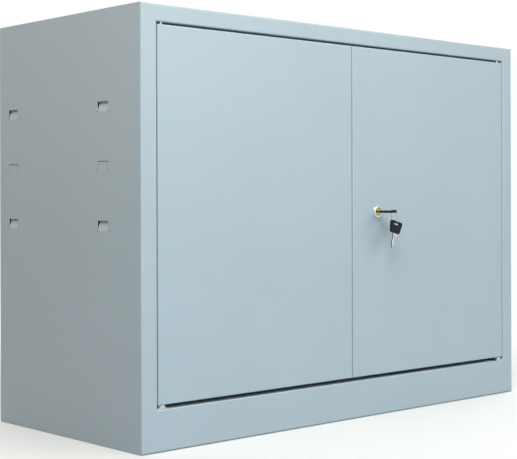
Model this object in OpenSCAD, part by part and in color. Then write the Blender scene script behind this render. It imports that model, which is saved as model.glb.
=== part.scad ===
// Two-door steel wall cabinet with a cam lock, hidden pivot hinges, shoot
// bolts and two lift-out shelves that hook on tabs lanced from the side walls.
// Millimetres. X runs along the front, Y from the front to the wall, Z up.
// The doors face -Y. The origin is the middle of the underside, counted over
// everything from the wall face to the key ring that hangs in front of the lock.

/* [Cabinet] */
// Overall width
cab_w = 900; // [760:10:1100]
// Overall depth
cab_d = 398; // [380:2:500]
// Overall height
cab_h = 667; // [640:1:800]
// Thickness of every steel sheet
sheet = 1; // [0.8:0.1:1.2]
// Outside radius of the frame's bends
frame_bend = 3; // [2:0.5:4]

/* [Front frame] */
// Face width of the upright stiles
stile_w = 29; // [24:0.5:40]
// Face height of the rail over the doors
top_rail = 26.5; // [22:0.5:45]
// Face height of the rail under the doors
bottom_rail = 63.5; // [50:0.5:90]
// Depth of the rebate that the doors sit in
rebate_depth = 22.5; // [21.5:0.5:28]
// Width of the stop lip behind the doors
stop_lip = 12; // [8:0.5:18]
// Outside radius of the rebate's bends
rebate_bend = 2; // [1.5:0.25:2.5]

/* [Back and foot] */
// Width of the flanges that carry the back sheet
rear_flange = 18; // [14:1:30]
// Width of the turned-in flanges the cabinet stands on
foot_flange = 18; // [12:1:30]
// Radius of the wall screw holes
wall_hole_r = 4.5; // [3:0.25:6]
// Distance between the wall screws along the width
wall_hole_dx = 760; // [600:10:800]
// Distance between the wall screws up the back
wall_hole_dz = 480; // [400:10:520]
// Height of the lower wall screws
wall_hole_z = 120; // [90:5:130]

/* [Doors] */
// Depth of the folded door pan
door_depth = 18; // [17:0.5:19]
// Outside radius of the door's bends
door_bend = 2; // [1.5:0.25:2.5]
// Width of the lip folded in round the back of the door
door_lip = 12; // [8:0.5:16]
// Gap between a door and its stile
side_gap = 2.2; // [2:0.1:4]
// Gap between the two doors
centre_gap = 2; // [1.5:0.1:4]
// Gap over the doors
top_gap = 3.5; // [2.5:0.1:6]
// Gap under the doors
bottom_gap = 6.5; // [6:0.1:9]
// Height of the stiffening channel in each door
channel_depth = 11; // [8:0.5:13]
// Width over the crown of the stiffening channel
channel_crown = 30; // [20:1:50]
// Width of each foot of the stiffening channel
channel_foot = 12; // [8:0.5:20]
// Distance from the channel's ends to the door's edges
channel_end = 24; // [20:1:60]

/* [Hinges] */
// Radius of the hinge pins
pin_r = 2.5; // [2:0.1:3]
// Pin centre in from the hinged edge of the door
pin_inset = 9; // [8:0.25:11]
// Pin centre behind the door's face
pin_back = 5.5; // [5:0.25:6]
// Radial play of a turning or sliding fit
play = 0.05; // [0.02:0.01:0.08]
// Thickness of the hinge plate on the bottom rail
hinge_plate = 2.5; // [1.5:0.25:3]
// Width of every hinge plate
hinge_plate_w = 18; // [17:0.5:40]
// Outer radius of the bush under the door
bush_r = 5.5; // [4.5:0.25:6]
// Thickness of the plate welded in each door corner
door_plate = 2; // [1.5:0.25:4]
// How far a pin reaches into the door
pin_reach = 6; // [4.5:0.25:12]
// Thickness of the pin heads
pin_head = 1.6; // [1:0.1:3]

/* [Shelves] */
// Width of a shelf tab
tab_w = 26; // [16:0.5:40]
// Height of a shelf tab
tab_h = 14.5; // [12:0.5:20]
// Angle that a tab is bent inwards
tab_angle = 15; // [15:1:32]
// Width of the cut round a tab
tab_cut = 1; // [0.3:0.1:1.2]
// Radius of the relief holes at a tab's foot
relief_r = 1.4; // [0.6:0.1:1.5]
// Front tab column, measured from the cabinet's face
tab_front = 97; // [80:1:140]
// Rear tab column, measured from the cabinet's face
tab_rear = 353.5; // [260:0.5:356]
// Height of the lowest tab row
tab_low = 328.5; // [250:0.5:340]
// Distance between tab rows
tab_pitch = 91; // [60:1:92]
// Clearance between a shelf and the side walls
shelf_clear = 0.5; // [0.3:0.1:1.2]
// Height of the shelf's turned-down edges
shelf_flange = 22; // [16:0.5:28]
// Width of the lip under the shelf's front and rear edges
shelf_lip = 12; // [8:0.5:16]
// Front edge of the shelves behind the cabinet's face
shelf_set_back = 49; // [45:1:70]
// Clearance beside a tab in the shelf's side flange
notch_play = 3; // [1:0.5:6]
// Gap between a shelf and the back sheet
shelf_rear_gap = 5; // [3:0.5:12]

/* [Lock] */
// Lock axis in from the free edge of the right door
lock_inset = 61.5; // [50:0.5:72]
// Lock axis above the middle of the door
lock_rise = 0; // [-60:1:60]
// Radius of the lock's front ring
lock_head_r = 10.5; // [9.5:0.25:14]
// Thickness of the lock's front ring
lock_head = 3.5; // [2.5:0.25:5]
// Radius of the lock body
lock_body_r = 8; // [7.6:0.1:9.5]
// Distance over the flats of the lock body
lock_flats = 14; // [12.8:0.1:15]
// Radius of the turning plug
plug_r = 5.6; // [5.4:0.1:6.2]
// Radius of the plug's face in the ring
plug_face_r = 7.4; // [6.8:0.1:8.5]
// Thickness of the plug's face
plug_face = 1.8; // [1.2:0.1:2.2]
// Distance over the hexagon of the lock nut
nut_flats = 20; // [18:0.5:24]
// Thickness of the lock nut
nut_t = 4; // [3:0.5:5]
// Thickness of the toothed washer under the nut
washer_t = 0.8; // [0.5:0.1:1.5]
// Thickness of the cam
cam_t = 2; // [1.5:0.25:3]
// Width of the cam
cam_w = 16; // [13:0.5:22]
// How far the cam reaches behind the left door
cam_hook = 9; // [5:0.5:11]
// Gap between the cam and the backs of the doors
cam_gap = 1; // [0.6:0.1:1.5]
// Side of the plug's square tail
tail_side = 6.6; // [5:0.1:7]

/* [Keys] */
// Width of the key's plastic head at its free end
key_head_w = 28; // [20:0.5:34]
// Width of the key's plastic head at the blade
key_neck_w = 22.5; // [16:0.5:28]
// Length of the key's plastic head
key_head_l = 21; // [18:0.5:28]
// Thickness of the key's plastic head
key_head_t = 4; // [3:0.1:5]
// Corner radius of the key's plastic head
key_corner = 4; // [2:0.25:6]
// Length of the ring slot in the head
ring_slot_l = 16; // [14:0.5:18]
// Width of the ring slot in the head
ring_slot_w = 3.2; // [2.8:0.1:4]
// Bar left between the ring slot and the end of the head
ring_bar = 3.6; // [2.5:0.1:5]
// Length of the key's blade
blade_l = 26; // [22:0.5:28]
// Width of the key's blade
blade_w = 8; // [6:0.25:8.5]
// Thickness of the key's blade
blade_t = 2; // [1.6:0.1:2.2]
// Depth of the blade's notches
notch = 1.4; // [0.6:0.1:1.8]
// Distance from the door's face to the head of the key in the lock
key_stand_off = 13; // [11:0.5:16]
// Wire radius of the key ring
wire_r = 0.6; // [0.4:0.05:0.8]
// Width of the key ring between wire centres
ring_w = 13; // [12:0.5:18]
// Height of the key ring between wire centres
ring_h = 22.5; // [20:0.5:30]
// Corner radius of the key ring
ring_corner = 2.2; // [2:0.1:3]
// Sideways place of the ring from the lock axis
ring_side = 4.4; // [2:0.1:4.6]
// Lean of the spare key as it hangs
spare_lean = 15; // [10:1:20]

/* [Shoot bolts] */
// Radius of the bolt rods
rod_r = 4; // [3:0.25:4.5]
// Length of the bolt rods
rod_l = 92; // [85:1:140]
// Rod axis in from the free edge of the left door
rod_inset = 22; // [20:0.5:40]
// Travel of the bolts
bolt_travel = 12; // [8:0.5:14]
// Thickness of the guide plates
guide_t = 2.5; // [2:0.25:4]
// Width of the guide plates
guide_w = 20; // [16:0.5:30]
// Radius of the finger knob
knob_r = 4; // [3:0.25:6]
// How far the knob stands out from the rod
knob_l = 13; // [10:0.5:15]
// Extra radius of the frame hole that a bolt enters
bolt_hole_gap = 0.6; // [0.4:0.1:1.5]

/* [Buffers] */
// Radius of the rubber door buffers
buffer_r = 4.5; // [3:0.25:5.5]
// Gap between a closed door and its buffers
buffer_gap = 0.3; // [0.2:0.05:0.5]
// Distance of the outer buffers from the stiles
buffer_inset = 80; // [40:5:150]

/* [Hidden] */

$fn = 48;
bend_steps = 6;
paint = [0.74, 0.79, 0.81];
zinc = [0.78, 0.78, 0.74];
eps = 0.01;

slot_mid = key_head_l - ring_bar - ring_slot_w / 2;
key_out = key_stand_off + slot_mid + ring_w + wire_r;
front = (key_out - cab_d) / 2;
rear = front + cab_d;
side = cab_w / 2;
sheet_mid = sheet / 2;
seat_gap = 0.2;

// Opening that the two doors fill
open_x = side - stile_w;
open_bottom = bottom_rail;
open_top = cab_h - top_rail;
rebate_y = front + rebate_depth;
lip_x = open_x - stop_lip;
lip_top = open_top - stop_lip;
mitre = 5;

// Back sheet, lying against the rear flanges from inside
back_y = rear - 2 * sheet;
back_x = side - frame_bend - sheet_mid;
back_z0 = sheet + seat_gap;
back_z1 = cab_h - frame_bend;

// Door outlines
door_x0 = centre_gap / 2;
door_x1 = open_x - side_gap;
door_z0 = open_bottom + bottom_gap;
door_z1 = open_top - top_gap;
door_w = door_x1 - door_x0;
door_h = door_z1 - door_z0;
door_back = front + door_depth;

// Hinge axis of the right door; the left one mirrors it
pin_x = door_x1 - pin_inset;
pin_y = front + pin_back;
pin_hole_r = pin_r + play;
pin_head_r = pin_back - rebate_bend - seat_gap;
bush_z = open_bottom + hinge_plate;

// Shelf tabs
tab_rows = 3;
tab_columns = [front + tab_front, front + tab_rear];
tab_mid_x = side - sheet_mid;
// Height over a tab's foot at which the shelf's plate rests
tab_seat = tab_h * cos(tab_angle) + sheet_mid * sin(tab_angle) + seat_gap;
shelf_x = side - sheet - shelf_clear;
// Edge of the plate over a tab, just outside the tab's highest corner
notch_x = min(tab_mid_x - tab_h * sin(tab_angle) + sheet_mid * cos(tab_angle), shelf_x - 2 * sheet) + sheet;
shelf_y0 = front + shelf_set_back;
shelf_y1 = back_y - shelf_rear_gap;

// Lock axis and the planes along it
lock_x = door_x0 + lock_inset;
lock_z = (door_z0 + door_z1) / 2 + lock_rise;
lock_front = front - lock_head;
cam_y = door_back + cam_gap;
cam_reach = lock_x + door_x0 + cam_hook;
body_end = cam_y - seat_gap;
plug_recess = 0.4;
keyway_w = blade_w + 0.4;
keyway_t = blade_t + 0.3;
keyway_end = front - key_stand_off + blade_l + 0.3;
screw_r = 2;
screw_l = 6;
screw_head_r = 4;
screw_head = 2.4;

// Keys
pocket_l = 6;
ring_x = lock_x + ring_side;
ring_y0 = front - key_stand_off - slot_mid;
ring_top = lock_z + key_head_t / 2 + wire_r + seat_gap;
ring_foot = ring_top - ring_h;
hang_v = key_head_l - ring_bar - wire_r - seat_gap;
hang_u = ring_side + 0.5;

// Shoot bolts
rod_x = -(door_x0 + rod_inset);
rod_y = front + door_depth / 2;
knob_play = 0.5;
guide_open = 2 * knob_r + bolt_travel + 2 * knob_play;
guide_low = 22;
guide_span = 16;
knob_rise = guide_low + guide_t + knob_play + knob_r;
bolt_hole_r = rod_r + bolt_hole_gap;

// ---------- helpers ----------

function unit(v) = v / norm(v);
function left_of(d) = [-d.y, d.x];
function turned(v, a) = [v.x * cos(a) - v.y * sin(a), v.x * sin(a) + v.y * cos(a)];

// Points of one bend, offset o to the left of the sheet's middle line
function bend_side(p0, p1, p2, o, r) =
    let (
        d1 = unit(p1 - p0),
        d2 = unit(p2 - p1),
        s = sign(d1.x * d2.y - d1.y * d2.x),
        angle = acos(d1 * d2),
        centre = p1 - d1 * r * tan(angle / 2) + left_of(d1) * s * r
    )
    [for (k = [0:bend_steps])
        centre - s * (r - s * o) * turned(left_of(d1), s * angle * k / bend_steps)];

// One face of a folded sheet
function sheet_side(pts, o, radii) =
    let (n = len(pts), first = unit(pts[1] - pts[0]), last = unit(pts[n - 1] - pts[n - 2]))
    concat(
        [pts[0] + left_of(first) * o],
        [for (i = [1:n - 2]) each bend_side(pts[i - 1], pts[i], pts[i + 1], o, radii[i - 1])],
        [pts[n - 1] + left_of(last) * o]
    );

function reversed(pts) = [for (i = [len(pts) - 1:-1:0]) pts[i]];

// Section of a folded sheet; radii are the outside radii of the bends
module folded_section(pts, radii) {
    mid = [for (r = radii) r - sheet_mid];
    polygon(concat(sheet_side(pts, sheet_mid, mid), reversed(sheet_side(pts, -sheet_mid, mid))));
}

// Extrusions along the three axes, from one coordinate to another
module along_x(x0, x1) {
    translate([x0, 0, 0]) rotate([90, 0, 90]) linear_extrude(x1 - x0) children();
}

module along_y(y0, y1) {
    translate([0, y1, 0]) rotate([90, 0, 0]) linear_extrude(y1 - y0) children();
}

module along_z(z0, z1) {
    translate([0, 0, z0]) linear_extrude(z1 - z0) children();
}

module block(x0, x1, y0, y1, z0, z1) {
    translate([x0, y0, z0]) cube([x1 - x0, y1 - y0, z1 - z0]);
}

module rod_y_axis(x, z, y0, y1, r) {
    translate([x, y1, z]) rotate([90, 0, 0]) cylinder(h = y1 - y0, r = r);
}

module both_sides() {
    children();
    mirror([1, 0, 0]) children();
}

// A rectangle from corner to corner whose two far corners are rounded
module front_rounded(x0, x1, y0, y1, r) {
    translate([x0 + r, y0]) square([x1 - x0 - 2 * r, y1 - y0]);
    translate([x0, y0 + r]) square([x1 - x0, y1 - y0 - r]);
    translate([x0 + r, y0 + r]) circle(r);
    translate([x1 - r, y0 + r]) circle(r);
}

// Solid block with its four front edges rounded, for pans folded from sheet
module pan_block(x0, x1, y0, y1, z0, z1, r) {
    intersection() {
        along_z(z0, z1) front_rounded(x0, x1, y0, y1, r);
        along_x(x0, x1) mirror([1, -1]) front_rounded(z0, z1, y0, y1, r);
    }
}

// ---------- cabinet body ----------

// Space that belongs to one side panel, mitred against the rails
module side_space() {
    along_y(front - 1, rebate_y + sheet)
        polygon([
            [side, 0], [side - mitre, mitre], [open_x, open_bottom], [lip_x, open_bottom],
            [lip_x, lip_top], [open_x, open_top], [side - mitre, cab_h - mitre], [side, cab_h]
        ]);
    block(lip_x, side, rebate_y + sheet, rear - frame_bend, 0, cab_h);
    block(side - frame_bend - sheet_mid, side, rear - frame_bend, rear, 0, cab_h);
    block(side - rear_flange, side, rear - frame_bend, rear, 0, cab_h - rear_flange);
}

// Shelf tab lanced from the right wall and bent in by angle a
module shelf_tab(y, z, a) {
    reach = [-sin(a), cos(a)] * tab_h;
    translate([0, y + tab_w / 2, 0]) rotate([90, 0, 0]) linear_extrude(tab_w)
        if (a > 0)
            folded_section([[tab_mid_x, z - sheet], [tab_mid_x, z], [tab_mid_x, z] + reach], [1.5 * sheet]);
        else
            translate([tab_mid_x - sheet_mid, z - sheet]) square([sheet, tab_h + sheet]);
}

// Cut round a shelf tab, with relief holes at its foot
module tab_window(y, z) {
    half = tab_w / 2 + tab_cut;
    block(side - 2 * sheet, side + 1, y - half, y + half, z, z + tab_h + tab_cut);
    for (s = [-1, 1])
        translate([side - 2 * sheet, y + s * half, z]) rotate([0, 90, 0]) cylinder(h = 2 * sheet + 1, r = relief_r);
}

module side_panel() {
    difference() {
        union() {
            intersection() {
                along_z(0, cab_h)
                    folded_section([
                        [lip_x, rebate_y + sheet_mid],
                        [open_x + sheet_mid, rebate_y + sheet_mid],
                        [open_x + sheet_mid, front + sheet_mid],
                        [side - sheet_mid, front + sheet_mid],
                        [side - sheet_mid, rear - sheet_mid],
                        [side - rear_flange, rear - sheet_mid]
                    ], [rebate_bend, rebate_bend, frame_bend, frame_bend, frame_bend]);
                side_space();
            }
            block(side - foot_flange, side - sheet_mid, front + foot_flange, rear - frame_bend, 0, sheet);
        }
        for (y = tab_columns, row = [0:tab_rows - 1])
            tab_window(y, tab_low + row * tab_pitch);
    }
    for (y = tab_columns, row = [0:tab_rows - 1])
        shelf_tab(y, tab_low + row * tab_pitch, row == 1 ? 0 : tab_angle);
}

module right_side() {
    color(paint) side_panel();
}

module left_side() {
    color(paint) mirror([1, 0, 0]) side_panel();
}

// Roof with the top rail, its rebate and the stop lip folded from one sheet
module roof() {
    color(paint) difference() {
        intersection() {
            along_x(-side, side)
                folded_section([
                    [rebate_y + sheet_mid, lip_top],
                    [rebate_y + sheet_mid, open_top + sheet_mid],
                    [front + sheet_mid, open_top + sheet_mid],
                    [front + sheet_mid, cab_h - sheet_mid],
                    [rear - sheet_mid, cab_h - sheet_mid],
                    [rear - sheet_mid, cab_h - rear_flange]
                ], [rebate_bend, rebate_bend, frame_bend, frame_bend]);
            union() {
                along_y(front - 1, rebate_y + sheet)
                    polygon([
                        [-side, cab_h], [mitre - side, cab_h - mitre], [-open_x, open_top], [-lip_x, lip_top],
                        [lip_x, lip_top], [open_x, open_top], [side - mitre, cab_h - mitre], [side, cab_h]
                    ]);
                block(sheet - side, side - sheet, rebate_y + sheet, rear - frame_bend, 0, cab_h);
                block(-back_x, back_x, rear - frame_bend, rear, 0, cab_h);
            }
        }
        both_sides() translate([pin_x, pin_y, open_top - 1]) cylinder(h = 2 * sheet + 2, r = pin_hole_r);
        translate([rod_x, rod_y, open_top - 1]) cylinder(h = 2 * sheet + 2, r = bolt_hole_r);
    }
}

// Floor with the bottom rail and the front foot folded from one sheet
module base() {
    floor_rear = back_y - sheet_mid;
    color(paint) difference() {
        intersection() {
            along_x(-side, side)
                folded_section([
                    [front + foot_flange, sheet_mid],
                    [front + sheet_mid, sheet_mid],
                    [front + sheet_mid, open_bottom - sheet_mid],
                    [floor_rear, open_bottom - sheet_mid],
                    [floor_rear, open_bottom - rear_flange]
                ], [frame_bend, rebate_bend, rebate_bend]);
            union() {
                along_y(front - 1, rebate_y + sheet)
                    polygon([
                        [-side, 0], [mitre - side, mitre], [-open_x, open_bottom],
                        [open_x, open_bottom], [side - mitre, mitre], [side, 0]
                    ]);
                block(sheet - side, side - sheet, rebate_y + sheet, rear - frame_bend, 0, open_bottom);
                block(-back_x, back_x, rear - frame_bend, rear, 0, open_bottom);
            }
        }
        both_sides() translate([pin_x, pin_y, open_bottom - 2 * sheet]) cylinder(h = 3 * sheet, r = pin_hole_r);
        translate([rod_x, rod_y, open_bottom - 2 * sheet]) cylinder(h = 3 * sheet, r = bolt_hole_r);
    }
}

module back_panel() {
    color(paint) difference() {
        block(-back_x, back_x, back_y, back_y + sheet, back_z0, back_z1);
        for (x = [-wall_hole_dx / 2, wall_hole_dx / 2], z = [wall_hole_z, wall_hole_z + wall_hole_dz])
            rod_y_axis(x, z, back_y - 1, back_y + 2 * sheet, wall_hole_r);
    }
}

// Rubber discs stuck on the top stop lip
module door_buffers() {
    color([0.15, 0.15, 0.15]) both_sides()
        for (x = [door_x0 + buffer_inset / 2, open_x - buffer_inset])
            rod_y_axis(x, lip_top + buffer_r + sheet, door_back + buffer_gap, rebate_y, buffer_r);
}

// ---------- hinges ----------

module lower_hinge_plates() {
    color(zinc) both_sides() difference() {
        block(open_x - hinge_plate_w, open_x - seat_gap, front + sheet, rebate_y - 2 * sheet, open_bottom, bush_z);
        translate([pin_x, pin_y, open_bottom - 1]) cylinder(h = hinge_plate + 2, r = pin_hole_r);
    }
}

module lower_hinge_pins() {
    color(zinc) both_sides() translate([pin_x, pin_y, 0]) {
        along_z(open_bottom - sheet - pin_head, open_bottom - sheet) circle(pin_head_r);
        along_z(open_bottom - sheet, door_z0 + pin_reach) circle(pin_r);
    }
}

module pivot_bushes() {
    color([0.9, 0.91, 0.86]) both_sides() translate([pin_x, pin_y, 0])
        along_z(bush_z, door_z0 - seat_gap) difference() {
            circle(bush_r);
            circle(pin_hole_r);
        }
}

module upper_hinge_pins() {
    color(zinc) both_sides() translate([pin_x, pin_y, 0]) {
        along_z(open_top + sheet, open_top + sheet + pin_head) circle(pin_head_r);
        along_z(door_z1 - pin_reach, open_top + sheet) circle(pin_r);
    }
}

// ---------- doors ----------

// Door pan on the right-hand side, before its own holes
module door_pan() {
    difference() {
        pan_block(door_x0, door_x1, front, door_back, door_z0, door_z1, door_bend);
        intersection() {
            pan_block(door_x0 + sheet, door_x1 - sheet, front + sheet, door_back, door_z0 + sheet, door_z1 - sheet, door_bend - sheet);
            block(door_x0, door_x1, front, door_back - sheet, door_z0, door_z1);
        }
        block(door_x0 + door_lip, door_x1 - door_lip, front + 2 * sheet, door_back + 1, door_z0 + door_lip, door_z1 - door_lip);
        translate([pin_x, pin_y, door_z0 - 1]) cylinder(h = sheet + 2, r = pin_hole_r);
        translate([pin_x, pin_y, door_z1 - sheet - 1]) cylinder(h = sheet + 2, r = pin_hole_r);
    }
}

// Hat-shaped channel welded upright in the middle of a door
module door_channel() {
    foot_y = front + sheet + sheet_mid;
    crown_y = front + sheet + channel_depth - sheet_mid;
    half = channel_crown / 2;
    slope = 5;
    color(paint) translate([(door_x0 + door_x1) / 2, 0, 0]) along_z(door_z0 + channel_end, door_z1 - channel_end)
        folded_section([
            [-half - slope - channel_foot, foot_y], [-half - slope, foot_y], [-half, crown_y],
            [half, crown_y], [half + slope, foot_y], [half + slope + channel_foot, foot_y]
        ], [1.8, 1.8, 1.8, 1.8]);
}

// Plates welded behind the top and bottom edges round the pivot holes
module door_hinge_plates() {
    for (z = [door_z0 + sheet, door_z1 - sheet - door_plate])
        color(zinc) difference() {
            block(door_x1 - hinge_plate_w, door_x1 - door_bend, front + door_bend, door_back - 2 * sheet, z, z + door_plate);
            translate([pin_x, pin_y, z - 1]) cylinder(h = door_plate + 2, r = pin_hole_r);
        }
}

module left_door() {
    color(paint) difference() {
        mirror([1, 0, 0]) door_pan();
        for (z = [door_z0, door_z1 - sheet])
            translate([rod_x, rod_y, z - 1]) cylinder(h = sheet + 2, r = rod_r + play);
    }
}

module left_door_channel() {
    mirror([1, 0, 0]) door_channel();
}

module left_door_hinge_plates() {
    mirror([1, 0, 0]) door_hinge_plates();
}

// Outline of the lock body: a round thread with two flats
module lock_outline(gap) {
    intersection() {
        circle(lock_body_r + gap);
        square([2 * lock_body_r + 2, lock_flats + 2 * gap], center = true);
    }
}

module at_lock(y0, y1) {
    translate([lock_x, 0, lock_z]) along_y(y0, y1) children();
}

module right_door() {
    color(paint) difference() {
        door_pan();
        at_lock(front - 1, front + sheet + 1) lock_outline(seat_gap);
    }
}

module right_door_channel() {
    door_channel();
}

module right_door_hinge_plates() {
    door_hinge_plates();
}

// ---------- shoot bolts of the left door ----------

// Upper bolt assembly pieces; the lower ones mirror them about the door's middle
module flip_down() {
    translate([0, 0, door_z0 + door_z1]) mirror([0, 0, 1]) children();
}

module guide_pair() {
    foot = door_z1 - rod_l;
    for (z = [foot + guide_low, foot + guide_low + guide_t + guide_open])
        difference() {
            union() {
                block(rod_x - guide_w / 2, rod_x + guide_w / 2, front + sheet, door_back - sheet, z, z + guide_t);
                block(rod_x - guide_w / 2, rod_x + guide_w / 2, front + sheet, front + 2 * sheet, z - guide_span / 4, z + guide_span / 2);
            }
            translate([rod_x, rod_y, z - 1]) cylinder(h = guide_t + 2, r = rod_r + play);
        }
}

module bolt_guides() {
    color(zinc) {
        guide_pair();
        flip_down() guide_pair();
    }
}

module bolt_rod() {
    foot = door_z1 - rod_l;
    difference() {
        translate([rod_x, rod_y, foot]) {
            cylinder(h = rod_l - rod_r / 2, r = rod_r);
            translate([0, 0, rod_l - rod_r / 2]) cylinder(h = rod_r / 2, r1 = rod_r, r2 = rod_r * 0.6);
        }
        rod_y_axis(rod_x, foot + knob_rise, rod_y, rod_y + rod_r + 1, knob_r / 2);
    }
}

module bolt_knob() {
    foot = door_z1 - rod_l;
    base_y = rod_y + rod_r + seat_gap;
    rod_y_axis(rod_x, foot + knob_rise, rod_y + seat_gap, base_y + 1, knob_r / 2 - play);
    rod_y_axis(rod_x, foot + knob_rise, base_y, base_y + knob_l - 1, knob_r);
    translate([rod_x, base_y + knob_l, foot + knob_rise]) rotate([90, 0, 0]) cylinder(h = 1, r1 = knob_r - 1, r2 = knob_r);
}

module upper_bolt() {
    color(zinc) bolt_rod();
}

module upper_bolt_knob() {
    color([0.1, 0.1, 0.1]) bolt_knob();
}

module lower_bolt() {
    color(zinc) flip_down() bolt_rod();
}

module lower_bolt_knob() {
    color([0.1, 0.1, 0.1]) flip_down() bolt_knob();
}

// ---------- cam lock ----------

module lock_housing() {
    color([0.9, 0.9, 0.9]) difference() {
        union() {
            at_lock(front, body_end) lock_outline(0);
            at_lock(lock_front + 1.5, front) circle(lock_head_r);
            translate([lock_x, lock_front + 1.5, lock_z]) rotate([90, 0, 0])
                cylinder(h = 1.5, r1 = lock_head_r, r2 = lock_head_r - 1.5);
        }
        at_lock(lock_front - 1, body_end + 1) circle(plug_r + play);
        at_lock(lock_front - 1, lock_front + plug_recess + plug_face) circle(plug_face_r + play);
    }
}

module lock_washer() {
    color(zinc) at_lock(front + sheet, front + sheet + washer_t) difference() {
        circle(nut_flats / 2);
        lock_outline(seat_gap);
    }
}

module lock_nut() {
    color(zinc) at_lock(front + sheet + washer_t, front + sheet + washer_t + nut_t) difference() {
        circle(r = nut_flats / 2 / cos(30), $fn = 6);
        circle(lock_body_r + play);
    }
}

// Turning plug: face, keyway, body and the square tail that drives the cam
module lock_plug() {
    face_y = lock_front + plug_recess;
    color([0.83, 0.72, 0.42]) difference() {
        union() {
            at_lock(face_y, face_y + plug_face - play) circle(plug_face_r);
            at_lock(face_y, cam_y) circle(plug_r);
            at_lock(cam_y, cam_y + cam_t - seat_gap / 2) square(tail_side, center = true);
        }
        at_lock(face_y - 1, keyway_end) square([keyway_w, keyway_t], center = true);
        at_lock(cam_y + cam_t - screw_l, cam_y + cam_t + 1) circle(screw_r);
    }
}

// Flat cam; it points down while the lock is open
module lock_cam() {
    color(zinc) at_lock(cam_y, cam_y + cam_t) difference() {
        union() {
            circle(cam_w / 2);
            translate([-cam_w / 2, cam_w / 2 - cam_reach]) square([cam_w, cam_reach - cam_w / 2]);
            translate([0, cam_w / 2 - cam_reach]) circle(cam_w / 2);
        }
        square(tail_side + 2 * play, center = true);
    }
}

module cam_screw() {
    color(zinc) difference() {
        union() {
            at_lock(cam_y + cam_t, cam_y + cam_t + screw_head) circle(screw_head_r);
            at_lock(cam_y + cam_t - screw_l + 1, cam_y + cam_t) circle(screw_r - play);
        }
        for (a = [0, 90])
            at_lock(cam_y + cam_t + screw_head / 2, cam_y + cam_t + screw_head + 1)
                rotate(a) square([4.4, 0.9], center = true);
    }
}

// ---------- keys ----------

// Notched edge of the blade, from its root to its tip
function notch_edge(u, s) = [
    for (k = [0:5]) each [
        [s * u, -4 - k * 3.2],
        [s * (u - notch * (k % 2 == 0 ? 1 : 0.5)), -5.3 - k * 3.2],
        [s * (u - notch * (k % 3 == 0 ? 0.4 : 0.9)), -6.2 - k * 3.2]
    ]
];

// Flat key in its own plane: the head lies above the line y = 0, the blade below
module blade_outline() {
    scale_l = blade_l / 26;
    u = blade_w / 2;
    difference() {
        polygon(concat(
            [[-u, pocket_l], [-u, 0]],
            [for (p = notch_edge(u, -1)) [p.x, p.y * scale_l]],
            [[-1.2, -blade_l], [1.2, -blade_l]],
            reversed([for (p = notch_edge(u, 1)) [p.x, p.y * scale_l]]),
            [[u, 0], [u, pocket_l]]
        ));
        translate([0, pocket_l]) circle(0.9);
    }
}

module blade_solid() {
    difference() {
        linear_extrude(blade_t, center = true) blade_outline();
        for (s = [-1, 1])
            translate([s * 0.9, -blade_l / 2 - 2, s * blade_t / 2]) cube([0.9, blade_l, blade_t / 2.5], center = true);
    }
}

module head_outline() {
    corner_u = key_head_w / 2 - key_corner;
    neck_u = key_neck_w / 2 - key_corner;
    hull() {
        for (s = [-1, 1]) {
            translate([s * corner_u, key_head_l - key_corner]) circle(key_corner);
            translate([s * neck_u, key_corner]) circle(key_corner);
        }
    }
}

module ring_slot() {
    half = (ring_slot_l - ring_slot_w) / 2;
    translate([-half, slot_mid - ring_slot_w / 2]) square([2 * half, ring_slot_w]);
    for (s = [-1, 1])
        translate([s * half, slot_mid]) circle(ring_slot_w / 2);
}

module head_solid() {
    difference() {
        linear_extrude(key_head_t, center = true) difference() {
            head_outline();
            ring_slot();
        }
        translate([0, (pocket_l + seat_gap) / 2 - 0.5, 0])
            cube([blade_w + 2 * play, pocket_l + seat_gap + 1, blade_t + 2 * play], center = true);
    }
}

module place_key() {
    translate([lock_x, front - key_stand_off, lock_z]) rotate([180, 0, 0]) children();
}

module place_spare() {
    translate([ring_x, ring_y0 - ring_w / 2, ring_foot]) rotate([0, spare_lean, 0])
        translate([hang_u, 0, -hang_v]) rotate([90, 0, 0]) children();
}

module key_blade() {
    color([0.8, 0.8, 0.8]) place_key() blade_solid();
}

module key_head() {
    color([0.08, 0.08, 0.09]) place_key() head_solid();
}

module spare_key_blade() {
    color([0.8, 0.8, 0.8]) place_spare() blade_solid();
}

module spare_key_head() {
    color([0.08, 0.08, 0.09]) place_spare() head_solid();
}

// Wire loop through both heads, in the plane square to the door
module key_ring() {
    w = ring_w / 2 - ring_corner;
    h = ring_h / 2 - ring_corner;
    color([0.8, 0.8, 0.8]) translate([ring_x, ring_y0 - ring_w / 2, ring_foot + ring_h / 2]) rotate([90, 0, 90])
        for (q = [0:3])
            rotate(q * 90) {
                a = q % 2 == 0 ? w : h;
                b = q % 2 == 0 ? h : w;
                translate([a, b, 0]) rotate_extrude(angle = 90) translate([ring_corner, 0]) circle(r = wire_r, $fn = 24);
                translate([a, b + ring_corner, 0]) rotate([0, -90, 0]) cylinder(h = 2 * a, r = wire_r, $fn = 24);
            }
}

// ---------- shelves ----------

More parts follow.
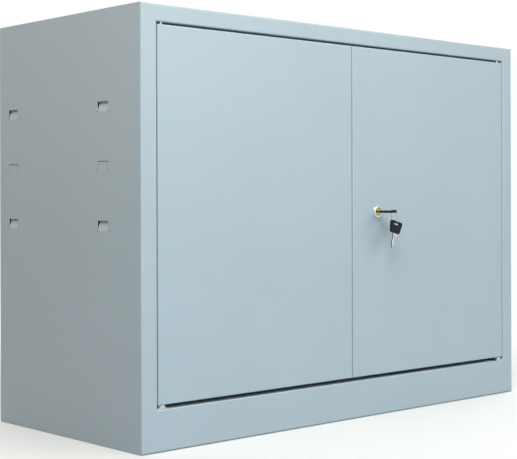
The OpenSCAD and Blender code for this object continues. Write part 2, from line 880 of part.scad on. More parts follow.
// Shelf folded down on all four edges, notched where it rests on the tabs
module shelf(row) {
    z1 = tab_low + row * tab_pitch + tab_seat + sheet;
    z0 = z1 - shelf_flange;
    bend = 2 * sheet;
    notch = tab_w / 2 + tab_cut + notch_play;
    color(paint) difference() {
        union() {
            intersection() {
                along_x(-shelf_x, shelf_x)
                    folded_section([
                        [shelf_y0 + shelf_lip, z0 + sheet_mid], [shelf_y0 + sheet_mid, z0 + sheet_mid],
                        [shelf_y0 + sheet_mid, z1 - sheet_mid], [shelf_y1 - sheet_mid, z1 - sheet_mid],
                        [shelf_y1 - sheet_mid, z0 + sheet_mid], [shelf_y1 - shelf_lip, z0 + sheet_mid]
                    ], [bend, bend, bend, bend]);
                along_y(shelf_y0, shelf_y1) mirror([0, 1]) front_rounded(-shelf_x, shelf_x, -z1, -z0, bend);
            }
            intersection() {
                along_y(shelf_y0 + bend, shelf_y1 - bend)
                    folded_section([
                        [-shelf_x + sheet_mid, z0], [-shelf_x + sheet_mid, z1 - sheet_mid],
                        [shelf_x - sheet_mid, z1 - sheet_mid], [shelf_x - sheet_mid, z0]
                    ], [bend, bend]);
                block(-shelf_x, shelf_x, shelf_y0, shelf_y1, z0, z1);
            }
        }
        both_sides() for (y = tab_columns)
            block(notch_x, side, y - notch, y + notch, z0 - 1, z1 + 1);
    }
}

module lower_shelf() {
    shelf(0);
}

module upper_shelf() {
    shelf(2);
}

left_side();
right_side();
roof();
base();
back_panel();
door_buffers();
lower_hinge_plates();
lower_hinge_pins();
pivot_bushes();
upper_hinge_pins();
left_door();
left_door_channel();
left_door_hinge_plates();
bolt_guides();
upper_bolt();
upper_bolt_knob();
lower_bolt();
lower_bolt_knob();
right_door();
right_door_channel();
right_door_hinge_plates();
lock_housing();
lock_washer();
lock_nut();
lock_plug();
lock_cam();
cam_screw();
key_blade();
key_head();
key_ring();
spare_key_blade();
spare_key_head();
lower_shelf();
upper_shelf();
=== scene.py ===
# %% [markdown]
# # A two-door steel wall cabinet
#
# The cabinet is folded from one millimetre sheet and powder coated pale grey.
# Its walls, doors, hinges, lock and keys come in as finished solids with real
# sizes, so this lesson is about their look: paint that has a faint orange
# peel, zinc, chrome, brass, moulded plastic, and the light that shows them.

# %% Load the cabinet
import math

import bmesh
import bpy
from mathutils import Matrix, Vector


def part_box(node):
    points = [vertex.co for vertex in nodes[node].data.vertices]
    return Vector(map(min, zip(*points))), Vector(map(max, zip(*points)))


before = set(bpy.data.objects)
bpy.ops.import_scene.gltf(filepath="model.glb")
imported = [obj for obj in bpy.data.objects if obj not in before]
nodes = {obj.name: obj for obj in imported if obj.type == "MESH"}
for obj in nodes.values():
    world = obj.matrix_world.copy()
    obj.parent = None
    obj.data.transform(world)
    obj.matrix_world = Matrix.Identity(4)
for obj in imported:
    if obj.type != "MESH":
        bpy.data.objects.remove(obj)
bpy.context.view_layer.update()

# %% [markdown]
# ## The camera
#
# A cabinet is drawn best with upright edges that stay parallel. Tilting the
# camera would make them lean, so it is kept level a little above half the
# cabinet's height, and a small lens shift frames the object instead. A long
# lens keeps the near corner from bulging.

# %% Place the level camera
CAMERA_PLACE = (-1.5699, -1.6600, 0.3789)
TURN_TO_CABINET = math.radians(-42.38)
TINY_ROLL = math.radians(-0.156)

camera_data = bpy.data.cameras.new("studio_camera")
camera_data.sensor_width = 36.0
camera_data.lens = 87.82
camera_data.shift_y = -0.0623
camera = bpy.data.objects.new("studio_camera", camera_data)
bpy.context.scene.collection.objects.link(camera)
camera.matrix_world = (
    Matrix.Translation(CAMERA_PLACE)
    @ Matrix.Rotation(TURN_TO_CABINET, 4, "Z")
    @ Matrix.Rotation(math.radians(90), 4, "X")
    @ Matrix.Rotation(TINY_ROLL, 4, "Z")
)
bpy.context.scene.camera = camera
bpy.context.scene.view_settings.view_transform = "Standard"
print("camera height:", round(camera.matrix_world.translation.z, 3))

# %% [markdown]
# ## The studio light
#
# Painted steel shows its shape by how the light falls off over it. Large
# soft boxes stand before the doors, over the near corner, and behind, and the
# sky around is even and pale. Large lamps are used because satin paint would
# show small ones as hot spots. A lamp that stands behind the plane of a panel
# can't light it, so the back has its own lamps and the doors keep theirs.

# %% Build the soft boxes
# Each row: name, place, aim, width and height, watts, colour.
SOFT_BOXES = (
    ("door_light", (1.2, -3.0, 2.2), (0, 0, 0.4), (2.4, 1.8), 44, (1.0, 0.96, 0.85)),
    ("corner_light", (-1.45, -1.35, 2.35), (-0.1, -0.15, 0.45), (1.6, 1.2), 53, (1.0, 0.95, 0.87)),
    ("low_light", (-0.8, -2.6, 0.7), (0, 0, 0.4), (1.8, 1.4), 20, (0.32, 0.66, 1.0)),
    ("back_light", (1.4, 3.0, 2.0), (0, 0, 0.4), (2.4, 1.8), 55, (1.0, 0.98, 0.95)),
    ("far_side_light", (3.0, 0.9, 1.8), (0, 0, 0.4), (1.8, 1.4), 38, (1.0, 0.98, 0.95)),
)


def soft_box(name, place, aim, size, watts, colour):
    lamp = bpy.data.lights.new(name, "AREA")
    lamp.shape = "RECTANGLE"
    lamp.size, lamp.size_y = size
    lamp.energy = watts
    lamp.color = colour
    holder = bpy.data.objects.new(name, lamp)
    bpy.context.scene.collection.objects.link(holder)
    holder.location = place
    to_aim = Vector(aim) - Vector(place)
    holder.rotation_euler = to_aim.to_track_quat("-Z", "Y").to_euler()


for row in SOFT_BOXES:
    soft_box(*row)
print("lamps:", len(bpy.data.lights), "watts in all:", sum(row[4] for row in SOFT_BOXES))

# %% [markdown]
# ## The sky and the floor
#
# The sky lights the object evenly, but the camera and the shiny parts see it
# as plain white. Light Path tells the two apart: Is Camera Ray, Is Glossy
# Ray and Is Transmission Ray join in one mask. The floor uses the same mask.
# Near the cabinet it is a real matt floor that catches the shadow, and
# further out it fades into the white of the sky.

# %% Helpers for joining nodes
def maths(tree, operation, a, b=None, clamp=False):
    node = tree.nodes.new("ShaderNodeMath")
    node.operation = operation
    node.use_clamp = clamp
    for index, value in enumerate((a, b)):
        if isinstance(value, (int, float)):
            node.inputs[index].default_value = value
        elif value is not None:
            tree.links.new(value, node.inputs[index])
    return node.outputs[0]


def plain_shader(tree, kind, colour, strength=None):
    node = tree.nodes.new(kind)
    node.inputs["Color"].default_value = (*colour, 1)
    if strength is not None:
        node.inputs["Strength"].default_value = strength
    return node.outputs[0]


def mix_shaders(tree, amount, first, second):
    node = tree.nodes.new("ShaderNodeMixShader")
    tree.links.new(amount, node.inputs["Fac"])
    tree.links.new(first, node.inputs[1])
    tree.links.new(second, node.inputs[2])
    return node.outputs[0]


def stretch(tree, value, start, end, low=0.0, high=1.0, smooth=False):
    node = tree.nodes.new("ShaderNodeMapRange")
    if smooth:
        node.interpolation_type = "SMOOTHSTEP"
    tree.links.new(value, node.inputs["Value"])
    node.inputs["From Min"].default_value = start
    node.inputs["From Max"].default_value = end
    node.inputs["To Min"].default_value = low
    node.inputs["To Max"].default_value = high
    return node.outputs["Result"]


# %% Tell camera and mirror rays from light
def seen_directly(tree):
    paths = tree.nodes.new("ShaderNodeLightPath").outputs
    camera_or_gloss = maths(tree, "MAXIMUM", paths["Is Camera Ray"], paths["Is Glossy Ray"])
    return maths(tree, "MAXIMUM", camera_or_gloss, paths["Is Transmission Ray"])


# %% Mix the sky
SKY_STRENGTH = 0.2

sky = bpy.data.worlds.new("pale_sky")
sky.use_nodes = True
sky_tree = sky.node_tree
sky_tree.nodes.clear()
sky_light = plain_shader(sky_tree, "ShaderNodeBackground", (0.97, 0.99, 1.0), SKY_STRENGTH)
sky_white = plain_shader(sky_tree, "ShaderNodeBackground", (1, 1, 1), 1.0)
sky_out = sky_tree.nodes.new("ShaderNodeOutputWorld")
sky_tree.links.new(
    mix_shaders(sky_tree, seen_directly(sky_tree), sky_light, sky_white),
    sky_out.inputs["Surface"],
)
bpy.context.scene.world = sky
print("sky strength:", SKY_STRENGTH)

# %% Cut the floor
FLOOR_HALF = 9.0
JUST_BELOW = -0.0004

floor_mesh = bpy.data.meshes.new("studio_floor")
floor_build = bmesh.new()
bmesh.ops.create_grid(floor_build, x_segments=8, y_segments=8, size=FLOOR_HALF)
floor_build.to_mesh(floor_mesh)
floor_build.free()
floor = bpy.data.objects.new("studio_floor", floor_mesh)
bpy.context.scene.collection.objects.link(floor)
floor.location.z = JUST_BELOW
print("floor size:", tuple(round(v, 2) for v in floor.dimensions))

# %% Paint the floor so that it fades into the sky
FADE_STARTS = 0.55
FADE_ENDS = 1.5

floor_paint = bpy.data.materials.new("floor_paint")
floor_paint.use_nodes = True
floor_tree = floor_paint.node_tree
floor_tree.nodes.clear()
floor_place = floor_tree.nodes.new("ShaderNodeTexCoord")
from_middle = floor_tree.nodes.new("ShaderNodeVectorMath")
from_middle.operation = "LENGTH"
floor_tree.links.new(floor_place.outputs["Object"], from_middle.inputs[0])
fade = stretch(floor_tree, from_middle.outputs["Value"], FADE_STARTS, FADE_ENDS, smooth=True)
near_floor = plain_shader(floor_tree, "ShaderNodeBsdfDiffuse", (0.93, 0.93, 0.93))
far_floor = plain_shader(floor_tree, "ShaderNodeEmission", (1, 1, 1), 1.0)
floor_bounce = plain_shader(floor_tree, "ShaderNodeBsdfDiffuse", (0.30, 0.33, 0.36))
floor_seen = mix_shaders(floor_tree, fade, near_floor, far_floor)
floor_out = floor_tree.nodes.new("ShaderNodeOutputMaterial")
floor_tree.links.new(
    mix_shaders(floor_tree, seen_directly(floor_tree), floor_bounce, floor_seen),
    floor_out.inputs["Surface"],
)
floor_mesh.materials.append(floor_paint)
print("floor fades from", FADE_STARTS, "to", FADE_ENDS, "metres")

# %% [markdown]
# ## Shared surface effects
#
# Several finishes need the same effects, so each is a node group that is
# built once. `fine_grain` gives a height and a soft variation from two sizes
# of noise. `edge_highlight_and_wear` finds edges: it compares the normal with
# one that is rounded over a small radius, and where they differ the surface
# bends. Its Edge output is used to paint a highlight along bends, and its Worn
# output picks patches of real wear along them.

# %% Helpers for node groups
def new_group(name, inputs, outputs):
    group = bpy.data.node_groups.new(name, "ShaderNodeTree")
    for label, kind, value in inputs:
        socket = group.interface.new_socket(label, in_out="INPUT", socket_type=kind)
        if value is not None:
            socket.default_value = value
    for label, kind in outputs:
        group.interface.new_socket(label, in_out="OUTPUT", socket_type=kind)
    way_in = group.nodes.new("NodeGroupInput")
    way_out = group.nodes.new("NodeGroupOutput")
    return group, way_in, way_out


FLOAT = "NodeSocketFloat"
VECTOR = "NodeSocketVector"


def noise(tree, place, scale, detail, rough):
    node = tree.nodes.new("ShaderNodeTexNoise")
    tree.links.new(place, node.inputs["Vector"])
    tree.links.new(scale, node.inputs["Scale"])
    node.inputs["Detail"].default_value = detail
    node.inputs["Roughness"].default_value = rough
    return node.outputs["Fac"]


# %% The grain of a coat or a moulding
SPECKS_PER_GRAIN = 4.0
CLOUD_LOW, CLOUD_HIGH = 0.3, 0.7  # noise seldom goes past these

fine_grain, grain_in, grain_out = new_group(
    "fine_grain",
    [("Vector", VECTOR, None), ("Grain Scale", FLOAT, 400.0), ("Cloud Scale", FLOAT, 6.0)],
    [("Height", FLOAT), ("Clouds", FLOAT), ("Speckle", FLOAT)],
)
peel = noise(fine_grain, grain_in.outputs["Vector"], grain_in.outputs["Grain Scale"], 1.5, 0.4)
clouds = noise(fine_grain, grain_in.outputs["Vector"], grain_in.outputs["Cloud Scale"], 3.0, 0.55)
specks = noise(
    fine_grain,
    grain_in.outputs["Vector"],
    maths(fine_grain, "MULTIPLY", grain_in.outputs["Grain Scale"], SPECKS_PER_GRAIN),
    1.0,
    0.5,
)
fine_grain.links.new(peel, grain_out.inputs["Height"])
fine_grain.links.new(clouds, grain_out.inputs["Clouds"])
fine_grain.links.new(specks, grain_out.inputs["Speckle"])
print("group:", fine_grain.name)

# %% The painted highlight and the wear along edges
BEND_GAIN = 5.0
PATCH_STARTS, PATCH_GAIN = 0.48, 6.0

edge_highlight_and_wear, highlight_wear_in, highlight_wear_out = new_group(
    "edge_highlight_and_wear",
    [("Vector", VECTOR, None), ("Radius", FLOAT, 0.001), ("Patch Scale", FLOAT, 60.0)],
    [("Edge", FLOAT), ("Worn", FLOAT)],
)
rounded = edge_highlight_and_wear.nodes.new("ShaderNodeBevel")
rounded.samples = 6
unrounded = edge_highlight_and_wear.nodes.new("ShaderNodeNewGeometry")
facing = edge_highlight_and_wear.nodes.new("ShaderNodeVectorMath")
facing.operation = "DOT_PRODUCT"
edge_highlight_and_wear.links.new(highlight_wear_in.outputs["Radius"], rounded.inputs["Radius"])
edge_highlight_and_wear.links.new(rounded.outputs["Normal"], facing.inputs[0])
edge_highlight_and_wear.links.new(unrounded.outputs["Normal"], facing.inputs[1])
bend = maths(edge_highlight_and_wear, "SUBTRACT", 1.0, facing.outputs["Value"], True)
# The Edge output paints a highlight along bends; the Worn output below keeps only patches of real
# wear.
edge = maths(edge_highlight_and_wear, "MULTIPLY", bend, BEND_GAIN, True)
patches = noise(edge_highlight_and_wear, highlight_wear_in.outputs["Vector"], highlight_wear_in.outputs["Patch Scale"], 3.0, 0.6)
past_start = maths(edge_highlight_and_wear, "SUBTRACT", patches, PATCH_STARTS, True)
chosen = maths(edge_highlight_and_wear, "MULTIPLY", past_start, PATCH_GAIN, True)
edge_highlight_and_wear.links.new(edge, highlight_wear_out.inputs["Edge"])
edge_highlight_and_wear.links.new(maths(edge_highlight_and_wear, "MULTIPLY", edge, chosen), highlight_wear_out.inputs["Worn"])
print("group:", edge_highlight_and_wear.name)

# %% [markdown]
# Folded sheets are joined by spot welds: two copper tips pinch the sheets and
# leave a row of shallow round dimples. `spot_welds` makes such a row from two
# distances, one along the row and one across it, and repeats at the pitch.

# %% The dimples of spot welds
RIM_STARTS = 0.65  # share of the radius where a dimple rises to its rim


def length_of(tree, across, up):
    squares = [maths(tree, "MULTIPLY", way, way) for way in (across, up)]
    return maths(tree, "SQRT", maths(tree, "ADD", *squares))


spot_welds, weld_in, weld_out = new_group(
    "spot_welds",
    [
        ("Along", FLOAT, None),
        ("Across", FLOAT, None),
        ("Pitch", FLOAT, 0.07),
        ("Radius", FLOAT, 0.003),
    ],
    [("Dimple", FLOAT)],
)
pitch = weld_in.outputs["Pitch"]
pitches_along = maths(spot_welds, "DIVIDE", weld_in.outputs["Along"], pitch)
share_of_pitch = maths(spot_welds, "FRACT", pitches_along)
from_spot = maths(spot_welds, "MULTIPLY", maths(spot_welds, "SUBTRACT", share_of_pitch, 0.5), pitch)
spot_distance = length_of(spot_welds, from_spot, weld_in.outputs["Across"])
share_of_radius = maths(spot_welds, "DIVIDE", spot_distance, weld_in.outputs["Radius"])
dimple = stretch(spot_welds, share_of_radius, RIM_STARTS, 1.0, 1.0, 0.0, smooth=True)
spot_welds.links.new(dimple, weld_out.inputs["Dimple"])
print("group:", spot_welds.name)

# %% [markdown]
# Dust settles on faces that lie flat and slides off the rest.
# `flat_dust_and_shade` takes the upward part of the normal and the clouds of
# the grain, and gives a thin film that is zero on walls and doors. The coats
# use it twice: it greys the colour darker, partly as dust and partly as
# painted shade on the level tops, and it dulls the gloss.

# %% The film of dust and painted shade on flat faces
LEVEL_ENOUGH = 0.95

flat_dust_and_shade, dust_shade_in, dust_shade_out = new_group(
    "flat_dust_and_shade",
    [
        ("Upward", FLOAT, None),
        ("Clouds", FLOAT, None),
        ("Thin", FLOAT, 0.15),
        ("Thick", FLOAT, 0.30),
    ],
    [("Dust And Shade", FLOAT)],
)
lies_flat = maths(flat_dust_and_shade, "GREATER_THAN", dust_shade_in.outputs["Upward"], LEVEL_ENOUGH)
thickness = flat_dust_and_shade.nodes.new("ShaderNodeMapRange")
thickness.inputs["From Min"].default_value = CLOUD_LOW
thickness.inputs["From Max"].default_value = CLOUD_HIGH
flat_dust_and_shade.links.new(dust_shade_in.outputs["Clouds"], thickness.inputs["Value"])
flat_dust_and_shade.links.new(dust_shade_in.outputs["Thin"], thickness.inputs["To Min"])
flat_dust_and_shade.links.new(dust_shade_in.outputs["Thick"], thickness.inputs["To Max"])
film = maths(flat_dust_and_shade, "MULTIPLY", lies_flat, thickness.outputs["Result"])
flat_dust_and_shade.links.new(film, dust_shade_out.inputs["Dust And Shade"])
print("group:", flat_dust_and_shade.name)

# %% [markdown]
# Every finish starts from the same few nodes. `start_finish` lays out one
# shader and the piece's own coordinates, and `own_normal` gives the side that
# a face looks to in the piece's own space, so that marks stay where they are
# when a door swings or a key turns.

# %% Helpers for finishes
def start_finish(name):
    finish = bpy.data.materials.new(name)
    finish.use_nodes = True
    tree = finish.node_tree
    tree.nodes.clear()
    shader = tree.nodes.new("ShaderNodeBsdfPrincipled")
    out = tree.nodes.new("ShaderNodeOutputMaterial")
    tree.links.new(shader.outputs[0], out.inputs["Surface"])
    place = tree.nodes.new("ShaderNodeTexCoord").outputs["Object"]
    return finish, tree, shader, place


def own_normal(tree):
    true_side = tree.nodes.new("ShaderNodeNewGeometry")
    turned_back = tree.nodes.new("ShaderNodeVectorTransform")
    turned_back.vector_type = "NORMAL"
    turned_back.convert_from = "WORLD"
    turned_back.convert_to = "OBJECT"
    tree.links.new(true_side.outputs["True Normal"], turned_back.inputs[0])
    return turned_back.outputs[0]


def put_group(tree, group, links, **values):
    node = tree.nodes.new("ShaderNodeGroup")
    node.node_tree = group
    for label, source in links.items():
        tree.links.new(source, node.inputs[label])
    for label, value in values.items():
        node.inputs[label.replace("_", " ")].default_value = value
    return node.outputs


def blend_colour(tree, amount, low, high):
    node = tree.nodes.new("ShaderNodeMix")
    node.data_type = "RGBA"
    tree.links.new(amount, node.inputs["Factor"])
    for label, value in (("A", low), ("B", high)):
        socket = [s for s in node.inputs if s.name == label and s.type == "RGBA"][0]
        if isinstance(value, tuple):
            socket.default_value = (*value, 1)
        else:
            tree.links.new(value, socket)
    return [s for s in node.outputs if s.type == "RGBA"][0]


def between(tree, cloud, low, high):
    return stretch(tree, cloud, CLOUD_LOW, CLOUD_HIGH, low, high)


def raise_surface(tree, shader, height, distance, strength):
    bump = tree.nodes.new("ShaderNodeBump")
    bump.inputs["Distance"].default_value = distance
    bump.inputs["Strength"].default_value = strength
    tree.links.new(height, bump.inputs["Height"])
    tree.links.new(bump.outputs["Normal"], shader.inputs["Normal"])


# %% [markdown]
# ## The powder coat
#
# Powder paint is sprayed dry and baked, and it levels into a satin skin with
# a ripple of two to three millimetres, called orange peel. It is thinner over
# bends and cut edges, and there the colour is made a little paler, partly for
# the thinner coat and partly as a painted highlight where the bends catch the
# light. The ripple is far too fine to model, so it is a bump, and clouds of
# noise keep the large doors from looking like a flat fill. Faces that lie flat
# hold a thin film of dust, which makes the roof and the shelves a little duller
# than the doors, and their colour is greyed darker, partly as dust and partly
# as painted shade on the level tops.

# %% How the coat is made
WALL_FACING = 0.98
REAR_FACING = 0.95
PEEL_DEPTH = 0.00004
DIMPLE_DEPTH = 4.0  # in heights of the orange peel
WELD_SHADE = 0.5
GREY, PALER_GREY = (0.484, 0.558, 0.586), (0.506, 0.582, 0.610)
SPECK_GREY, THIN_COAT_AND_HIGHLIGHT_GREY, WORN_GREY = (0.54, 0.61, 0.63), (0.59, 0.65, 0.67), (0.66, 0.70, 0.71)
WELD_GREY, DUST_AND_SHADE_GREY = (0.44, 0.51, 0.54), (0.36, 0.38, 0.37)


def coat_colour(tree, grain, edge, worn):
    clouded = blend_colour(tree, between(tree, grain["Clouds"], 0.0, 1.0), GREY, PALER_GREY)
    specks = between(tree, grain["Speckle"], 0.0, 0.3)
    # Bends and cut edges turn paler, partly for the thinner coat and partly as a painted highlight.
    edged = blend_colour(tree, edge, blend_colour(tree, specks, clouded, SPECK_GREY), THIN_COAT_AND_HIGHLIGHT_GREY)
    return blend_colour(tree, worn, edged, WORN_GREY)


def powder_coat(name, highlight_and_wear_only_on_walls=False, weld_rows=None):
    finish, tree, shader, place = start_finish(name)
    grain = put_group(
        tree, fine_grain, {"Vector": place}, Grain_Scale=420.0, Cloud_Scale=5.0
    )
    highlight_and_wear = put_group(tree, edge_highlight_and_wear, {"Vector": place}, Radius=0.0011, Patch_Scale=55.0)
    edge, worn = highlight_and_wear["Edge"], highlight_and_wear["Worn"]
    facing = tree.nodes.new("ShaderNodeSeparateXYZ")
    tree.links.new(own_normal(tree), facing.inputs[0])
    if highlight_and_wear_only_on_walls:
        outward = maths(tree, "ABSOLUTE", facing.outputs["X"])
        wall = maths(tree, "GREATER_THAN", outward, WALL_FACING)
        edge = maths(tree, "MULTIPLY", edge, wall)
        worn = maths(tree, "MULTIPLY", worn, wall)
    colour = coat_colour(tree, grain, edge, worn)
    height = grain["Height"]
    if weld_rows:
        rearward = maths(tree, "GREATER_THAN", facing.outputs["Y"], REAR_FACING)
        spots = maths(tree, "MULTIPLY", weld_rows(tree, place), rearward)
        height = maths(tree, "SUBTRACT", height, maths(tree, "MULTIPLY", spots, DIMPLE_DEPTH))
        colour = blend_colour(tree, maths(tree, "MULTIPLY", spots, WELD_SHADE), colour, WELD_GREY)
    dust_and_shade = put_group(
        tree, flat_dust_and_shade, {"Upward": facing.outputs["Z"], "Clouds": grain["Clouds"]}
    )["Dust And Shade"]
    # Level faces are greyed darker, partly as dust and partly as painted shade on the tops.
    tree.links.new(blend_colour(tree, dust_and_shade, colour, DUST_AND_SHADE_GREY), shader.inputs["Base Color"])
    satin = between(tree, grain["Clouds"], 0.30, 0.38)
    tree.links.new(maths(tree, "ADD", satin, dust_and_shade), shader.inputs["Roughness"])
    raise_surface(tree, shader, height, PEEL_DEPTH, 0.5)
    return finish


# %% [markdown]
# The welds lie where two sheets overlap: along the middle of the flanges
# behind the back sheet, and along both feet of the channels in the doors.
# Their lines are taken from the boxes of those pieces, so they follow a
# change of size.

# %% Where the welds are
FLANGE_MIDDLE = 0.009
FOOT_MIDDLE = 0.006
WALL_PITCH, ROOF_PITCH, CHANNEL_PITCH = 0.065, 0.070, 0.060

side_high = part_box("right_side")[1]
roof_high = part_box("roof")[1]
channel_low, channel_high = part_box("right_door_channel")
channel_middle = (channel_low.x + channel_high.x) / 2
channel_foot = (channel_high.x - channel_low.x) / 2 - FOOT_MIDDLE


def weld_row(tree, along, across, pitch):
    return put_group(tree, spot_welds, {"Along": along, "Across": across}, Pitch=pitch)["Dimple"]


def distance_to(tree, value, line):
    return maths(tree, "SUBTRACT", maths(tree, "ABSOLUTE", value), line)


def split_place(tree, place):
    node = tree.nodes.new("ShaderNodeSeparateXYZ")
    tree.links.new(place, node.inputs[0])
    return node.outputs


def rear_flange_welds(tree, place):
    xyz = split_place(tree, place)
    beside = distance_to(tree, xyz["X"], side_high.x - FLANGE_MIDDLE)
    above = maths(tree, "SUBTRACT", xyz["Z"], roof_high.z - FLANGE_MIDDLE)
    upright = weld_row(tree, xyz["Z"], beside, WALL_PITCH)
    level = weld_row(tree, xyz["X"], above, ROOF_PITCH)
    return maths(tree, "MAXIMUM", upright, level)


def channel_foot_welds(tree, place):
    xyz = split_place(tree, place)
    from_middle = distance_to(tree, xyz["X"], channel_middle)
    return weld_row(
        tree, xyz["Z"], distance_to(tree, from_middle, channel_foot), CHANNEL_PITCH
    )


print("weld line on the channel feet:", round(channel_foot, 4), "from its middle")

# %% Pale grey powder coat
paint = powder_coat("pale_grey_powder_coat")
frame_paint = powder_coat("pale_grey_frame_coat", True, rear_flange_welds)
channel_paint = powder_coat("pale_grey_channel_coat", False, channel_foot_welds)
print("finishes:", paint.name, frame_paint.name, channel_paint.name)

# %% [markdown]
# ## Bare and plated metal
#
# Hinge plates and pins are zinc plated, the lock's body is chromed, its
# turning face is brass, and the key blades are nickel plated. All are the
# same shader with Metallic at one. They differ in colour, in how sharply
# they reflect, and in the size and depth of their fine marks.

# %% Plated metals
EDGE_HIGHLIGHT_GAIN = 1.12


def plated_metal(name, colour, tint, low_rough, high_rough, mark_scale, mark_depth):
    finish, tree, shader, place = start_finish(name)
    shader.inputs["Metallic"].default_value = 1.0
    grain = put_group(
        tree, fine_grain, {"Vector": place}, Grain_Scale=mark_scale, Cloud_Scale=90.0
    )
    highlight_and_wear = put_group(tree, edge_highlight_and_wear, {"Vector": place}, Radius=0.0003, Patch_Scale=400.0)
    stained = blend_colour(tree, between(tree, grain["Clouds"], 0.0, 1.0), colour, tint)
    # Edges are made brighter than the rest as a painted highlight.
    edge_highlight_colour = tuple(min(1.0, part * EDGE_HIGHLIGHT_GAIN) for part in colour)
    edge_highlighted = blend_colour(tree, highlight_and_wear["Edge"], stained, edge_highlight_colour)
    tree.links.new(edge_highlighted, shader.inputs["Base Color"])
    tree.links.new(
        between(tree, grain["Clouds"], low_rough, high_rough), shader.inputs["Roughness"]
    )
    raise_surface(tree, shader, grain["Height"], mark_depth, 0.6)
    return finish


zinc = plated_metal(
    "zinc_plating", (0.56, 0.57, 0.56), (0.46, 0.47, 0.48), 0.28, 0.42, 900.0, 0.00002
)
chrome = plated_metal(
    "lock_chrome_plating", (0.72, 0.72, 0.71), (0.62, 0.62, 0.62), 0.08, 0.16, 1500.0, 0.000006
)
wire = plated_metal(
    "ring_wire_steel", (0.38, 0.39, 0.40), (0.28, 0.29, 0.30), 0.20, 0.32, 1500.0, 0.000006
)
print("metals:", zinc.name, chrome.name, wire.name)

# %% [markdown]
# A key blade is a plated blank with its bitting cut afterwards. The flat
# sides are bright nickel, and the cut flanks are painted near black as
# painted shade, so that the bitting stands out. The shader tells them apart
# by how well the surface faces along the blade's thickness.

# %% Cut key blades
FLAT_ENOUGH = 0.9
BRIGHT_NICKEL, DULL_NICKEL, SHADED_FLANK_NICKEL = (0.86, 0.86, 0.84), (0.50, 0.50, 0.48), (0.06, 0.06, 0.06)


def key_metal(name, thickness_way):
    finish, tree, shader, place = start_finish(name)
    shader.inputs["Metallic"].default_value = 1.0
    grain = put_group(
        tree, fine_grain, {"Vector": place}, Grain_Scale=1400.0, Cloud_Scale=220.0
    )
    flatness = tree.nodes.new("ShaderNodeVectorMath")
    flatness.operation = "DOT_PRODUCT"
    tree.links.new(own_normal(tree), flatness.inputs[0])
    flatness.inputs[1].default_value = thickness_way
    faces_along = maths(tree, "ABSOLUTE", flatness.outputs["Value"])
    flat = maths(tree, "GREATER_THAN", faces_along, FLAT_ENOUGH)
    stain = between(tree, grain["Clouds"], 0.0, 1.0)
    stained = blend_colour(tree, stain, BRIGHT_NICKEL, DULL_NICKEL)
    # Faces other than the flat sides get a near-black colour as painted shade on the cut flanks.
    tree.links.new(blend_colour(tree, flat, SHADED_FLANK_NICKEL, stained), shader.inputs["Base Color"])
    tree.links.new(between(tree, grain["Clouds"], 0.14, 0.30), shader.inputs["Roughness"])
    raise_surface(tree, shader, grain["Height"], 0.00001, 0.6)
    return finish


nickel = key_metal("key_nickel_plating", (0.0, 0.0, 1.0))
spare_nickel = key_metal("spare_key_nickel_plating", (0.0, 1.0, 0.0))
print("key metals:", nickel.name, spare_nickel.name)

# %% [markdown]
# The turning face is brass with rings left by the lathe, so its marks follow
# the distance from the lock's axis. A little way inside the key slot the
# brass is painted near black as painted shade, which makes the slot read as
# a slot.

# %% Turned brass
LATHE_MARKS = 16000.0  # radians per metre, a groove every 0.4 mm
SLOT_SHADE_STARTS, SLOT_SHADE_FULL = 0.0006, 0.0016  # metres behind the face

face_low, face_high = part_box("lock_plug")
face_centre = (face_low + face_high) / 2
brass, tree, shader, place = start_finish("lock_face_brass")
shader.inputs["Metallic"].default_value = 1.0
from_axis = tree.nodes.new("ShaderNodeVectorMath")
from_axis.operation = "SUBTRACT"
tree.links.new(place, from_axis.inputs[0])
from_axis.inputs[1].default_value = (face_centre.x, face_low.y, face_centre.z)
xyz = split_place(tree, from_axis.outputs[0])
radius_out = length_of(tree, xyz["X"], xyz["Z"])
rings = maths(tree, "SINE", maths(tree, "MULTIPLY", radius_out, LATHE_MARKS))
grain = put_group(tree, fine_grain, {"Vector": place}, Grain_Scale=1800.0, Cloud_Scale=160.0)
turned = maths(tree, "ADD", maths(tree, "MULTIPLY", rings, 0.3), grain["Height"])
tarnish = between(tree, grain["Clouds"], 0.0, 1.0)
aged = blend_colour(tree, tarnish, (0.50, 0.40, 0.19), (0.36, 0.31, 0.17))
# Deeper in the key slot the brass is mixed to near black as painted shade.
depth = stretch(tree, xyz["Y"], SLOT_SHADE_STARTS, SLOT_SHADE_FULL)
slot_shaded = blend_colour(tree, depth, aged, (0.030, 0.026, 0.018))
tree.links.new(slot_shaded, shader.inputs["Base Color"])
tree.links.new(between(tree, grain["Clouds"], 0.22, 0.36), shader.inputs["Roughness"])
raise_surface(tree, shader, turned, 0.000008, 0.6)
print("finish:", brass.name, "axis at", tuple(round(v, 4) for v in face_centre))

# %% [markdown]
# ## Plastic, rubber and nylon
#
# The key heads are black moulded plastic with a spark-eroded grain, the
# hinge bushes are white nylon, and the door buffers are black rubber. None
# of them is a metal, so their colour comes from the base and their look from
# roughness and grain.

# %% Moulded finishes
def moulded(name, colour, paler, low_rough, high_rough, grain_scale, depth, shine=0.5):
    finish, tree, shader, place = start_finish(name)
    shader.inputs["Specular IOR Level"].default_value = shine
    grain = put_group(
        tree, fine_grain, {"Vector": place}, Grain_Scale=grain_scale, Cloud_Scale=120.0
    )
    highlight_and_wear = put_group(tree, edge_highlight_and_wear, {"Vector": place}, Radius=0.0004, Patch_Scale=300.0)
    clouded = blend_colour(tree, between(tree, grain["Clouds"], 0.0, 0.4), colour, paler)
    edged = blend_colour(tree, highlight_and_wear["Worn"], clouded, paler)
    tree.links.new(edged, shader.inputs["Base Color"])
    tree.links.new(
        between(tree, grain["Speckle"], low_rough, high_rough), shader.inputs["Roughness"]
    )
    raise_surface(tree, shader, grain["Height"], depth, 0.7)
    return finish


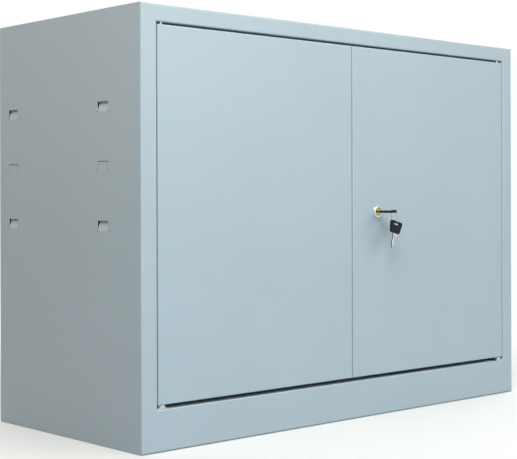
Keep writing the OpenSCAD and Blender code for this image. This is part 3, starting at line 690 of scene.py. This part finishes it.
black_plastic = moulded(
    "key_head_plastic", (0.009, 0.010, 0.012), (0.024, 0.025, 0.028), 0.42, 0.58, 2600.0, 0.00002,
    shine=0.15,
)
rubber = moulded(
    "black_rubber", (0.022, 0.022, 0.022), (0.050, 0.049, 0.047), 0.66, 0.84, 1600.0, 0.00004
)
nylon = moulded(
    "white_nylon", (0.70, 0.69, 0.64), (0.60, 0.58, 0.52), 0.36, 0.50, 1200.0, 0.00002
)
print("mouldings:", black_plastic.name, rubber.name, nylon.name)

# %% [markdown]
# ## Dress the solids
#
# Each solid keeps its shape and place and gets its own finish. A table says
# which finish belongs to which pieces, and the count shows that none is
# forgotten.

# %% Give each solid its finish
finish_table = {
    frame_paint: ["left_side", "right_side", "roof", "base"],
    paint: ["back_panel", "left_door", "right_door", "lower_shelf", "upper_shelf"],
    channel_paint: ["left_door_channel", "right_door_channel"],
    zinc: [
        "lower_hinge_plates", "lower_hinge_pins", "upper_hinge_pins", "left_door_hinge_plates",
        "right_door_hinge_plates", "bolt_guides", "upper_bolt", "lower_bolt", "lock_cam",
        "cam_screw", "lock_nut", "lock_washer",
    ],
    chrome: ["lock_housing"],
    wire: ["key_ring"],
    brass: ["lock_plug"],
    nickel: ["key_blade"],
    spare_nickel: ["spare_key_blade"],
    black_plastic: ["key_head", "spare_key_head", "upper_bolt_knob", "lower_bolt_knob"],
    nylon: ["pivot_bushes"],
    rubber: ["door_buffers"],
}
dressed = set()
for finish, names in finish_table.items():
    for name in names:
        mesh = nodes[name].data
        mesh.materials.clear()
        mesh.materials.append(finish)
        dressed.add(name)
print("dressed:", len(dressed), "left over:", sorted(set(nodes) - dressed))

# %% [markdown]
# ## Soften the small edges
#
# A moulded key head and a turned lock ring never have knife edges. A Weld
# modifier joins the faces of a solid, a Decimate modifier clears the lines
# that cross its flats, and a Bevel modifier rounds only the sharp edges. The
# solid itself stays as it is, and because a bevel only takes material away,
# the size stays as well.

# %% Round the edges of the lock and keys
ROUNDED_PIECES = {
    "key_head": 0.0006,
    "spare_key_head": 0.0006,
    "lock_housing": 0.0003,
    "lock_plug": 0.0002,
    "upper_bolt_knob": 0.0005,
    "lower_bolt_knob": 0.0005,
}
SAME_POINT = 0.000002
NEARLY_FLAT, SHARP = math.radians(0.5), math.radians(35)
ROUND_STEPS = 3


def soften(piece, width):
    weld = piece.modifiers.new("join_faces", "WELD")
    weld.merge_threshold = SAME_POINT
    flat = piece.modifiers.new("flat_faces", "DECIMATE")
    flat.decimate_type = "DISSOLVE"
    flat.angle_limit = NEARLY_FLAT
    bevel = piece.modifiers.new("small_radius", "BEVEL")
    bevel.width = width
    bevel.segments = ROUND_STEPS
    bevel.limit_method = "ANGLE"
    bevel.angle_limit = SHARP
    bevel.harden_normals = True


for name, width in ROUNDED_PIECES.items():
    soften(nodes[name], width)
print("softened:", [piece.name for piece in nodes.values() if piece.modifiers])
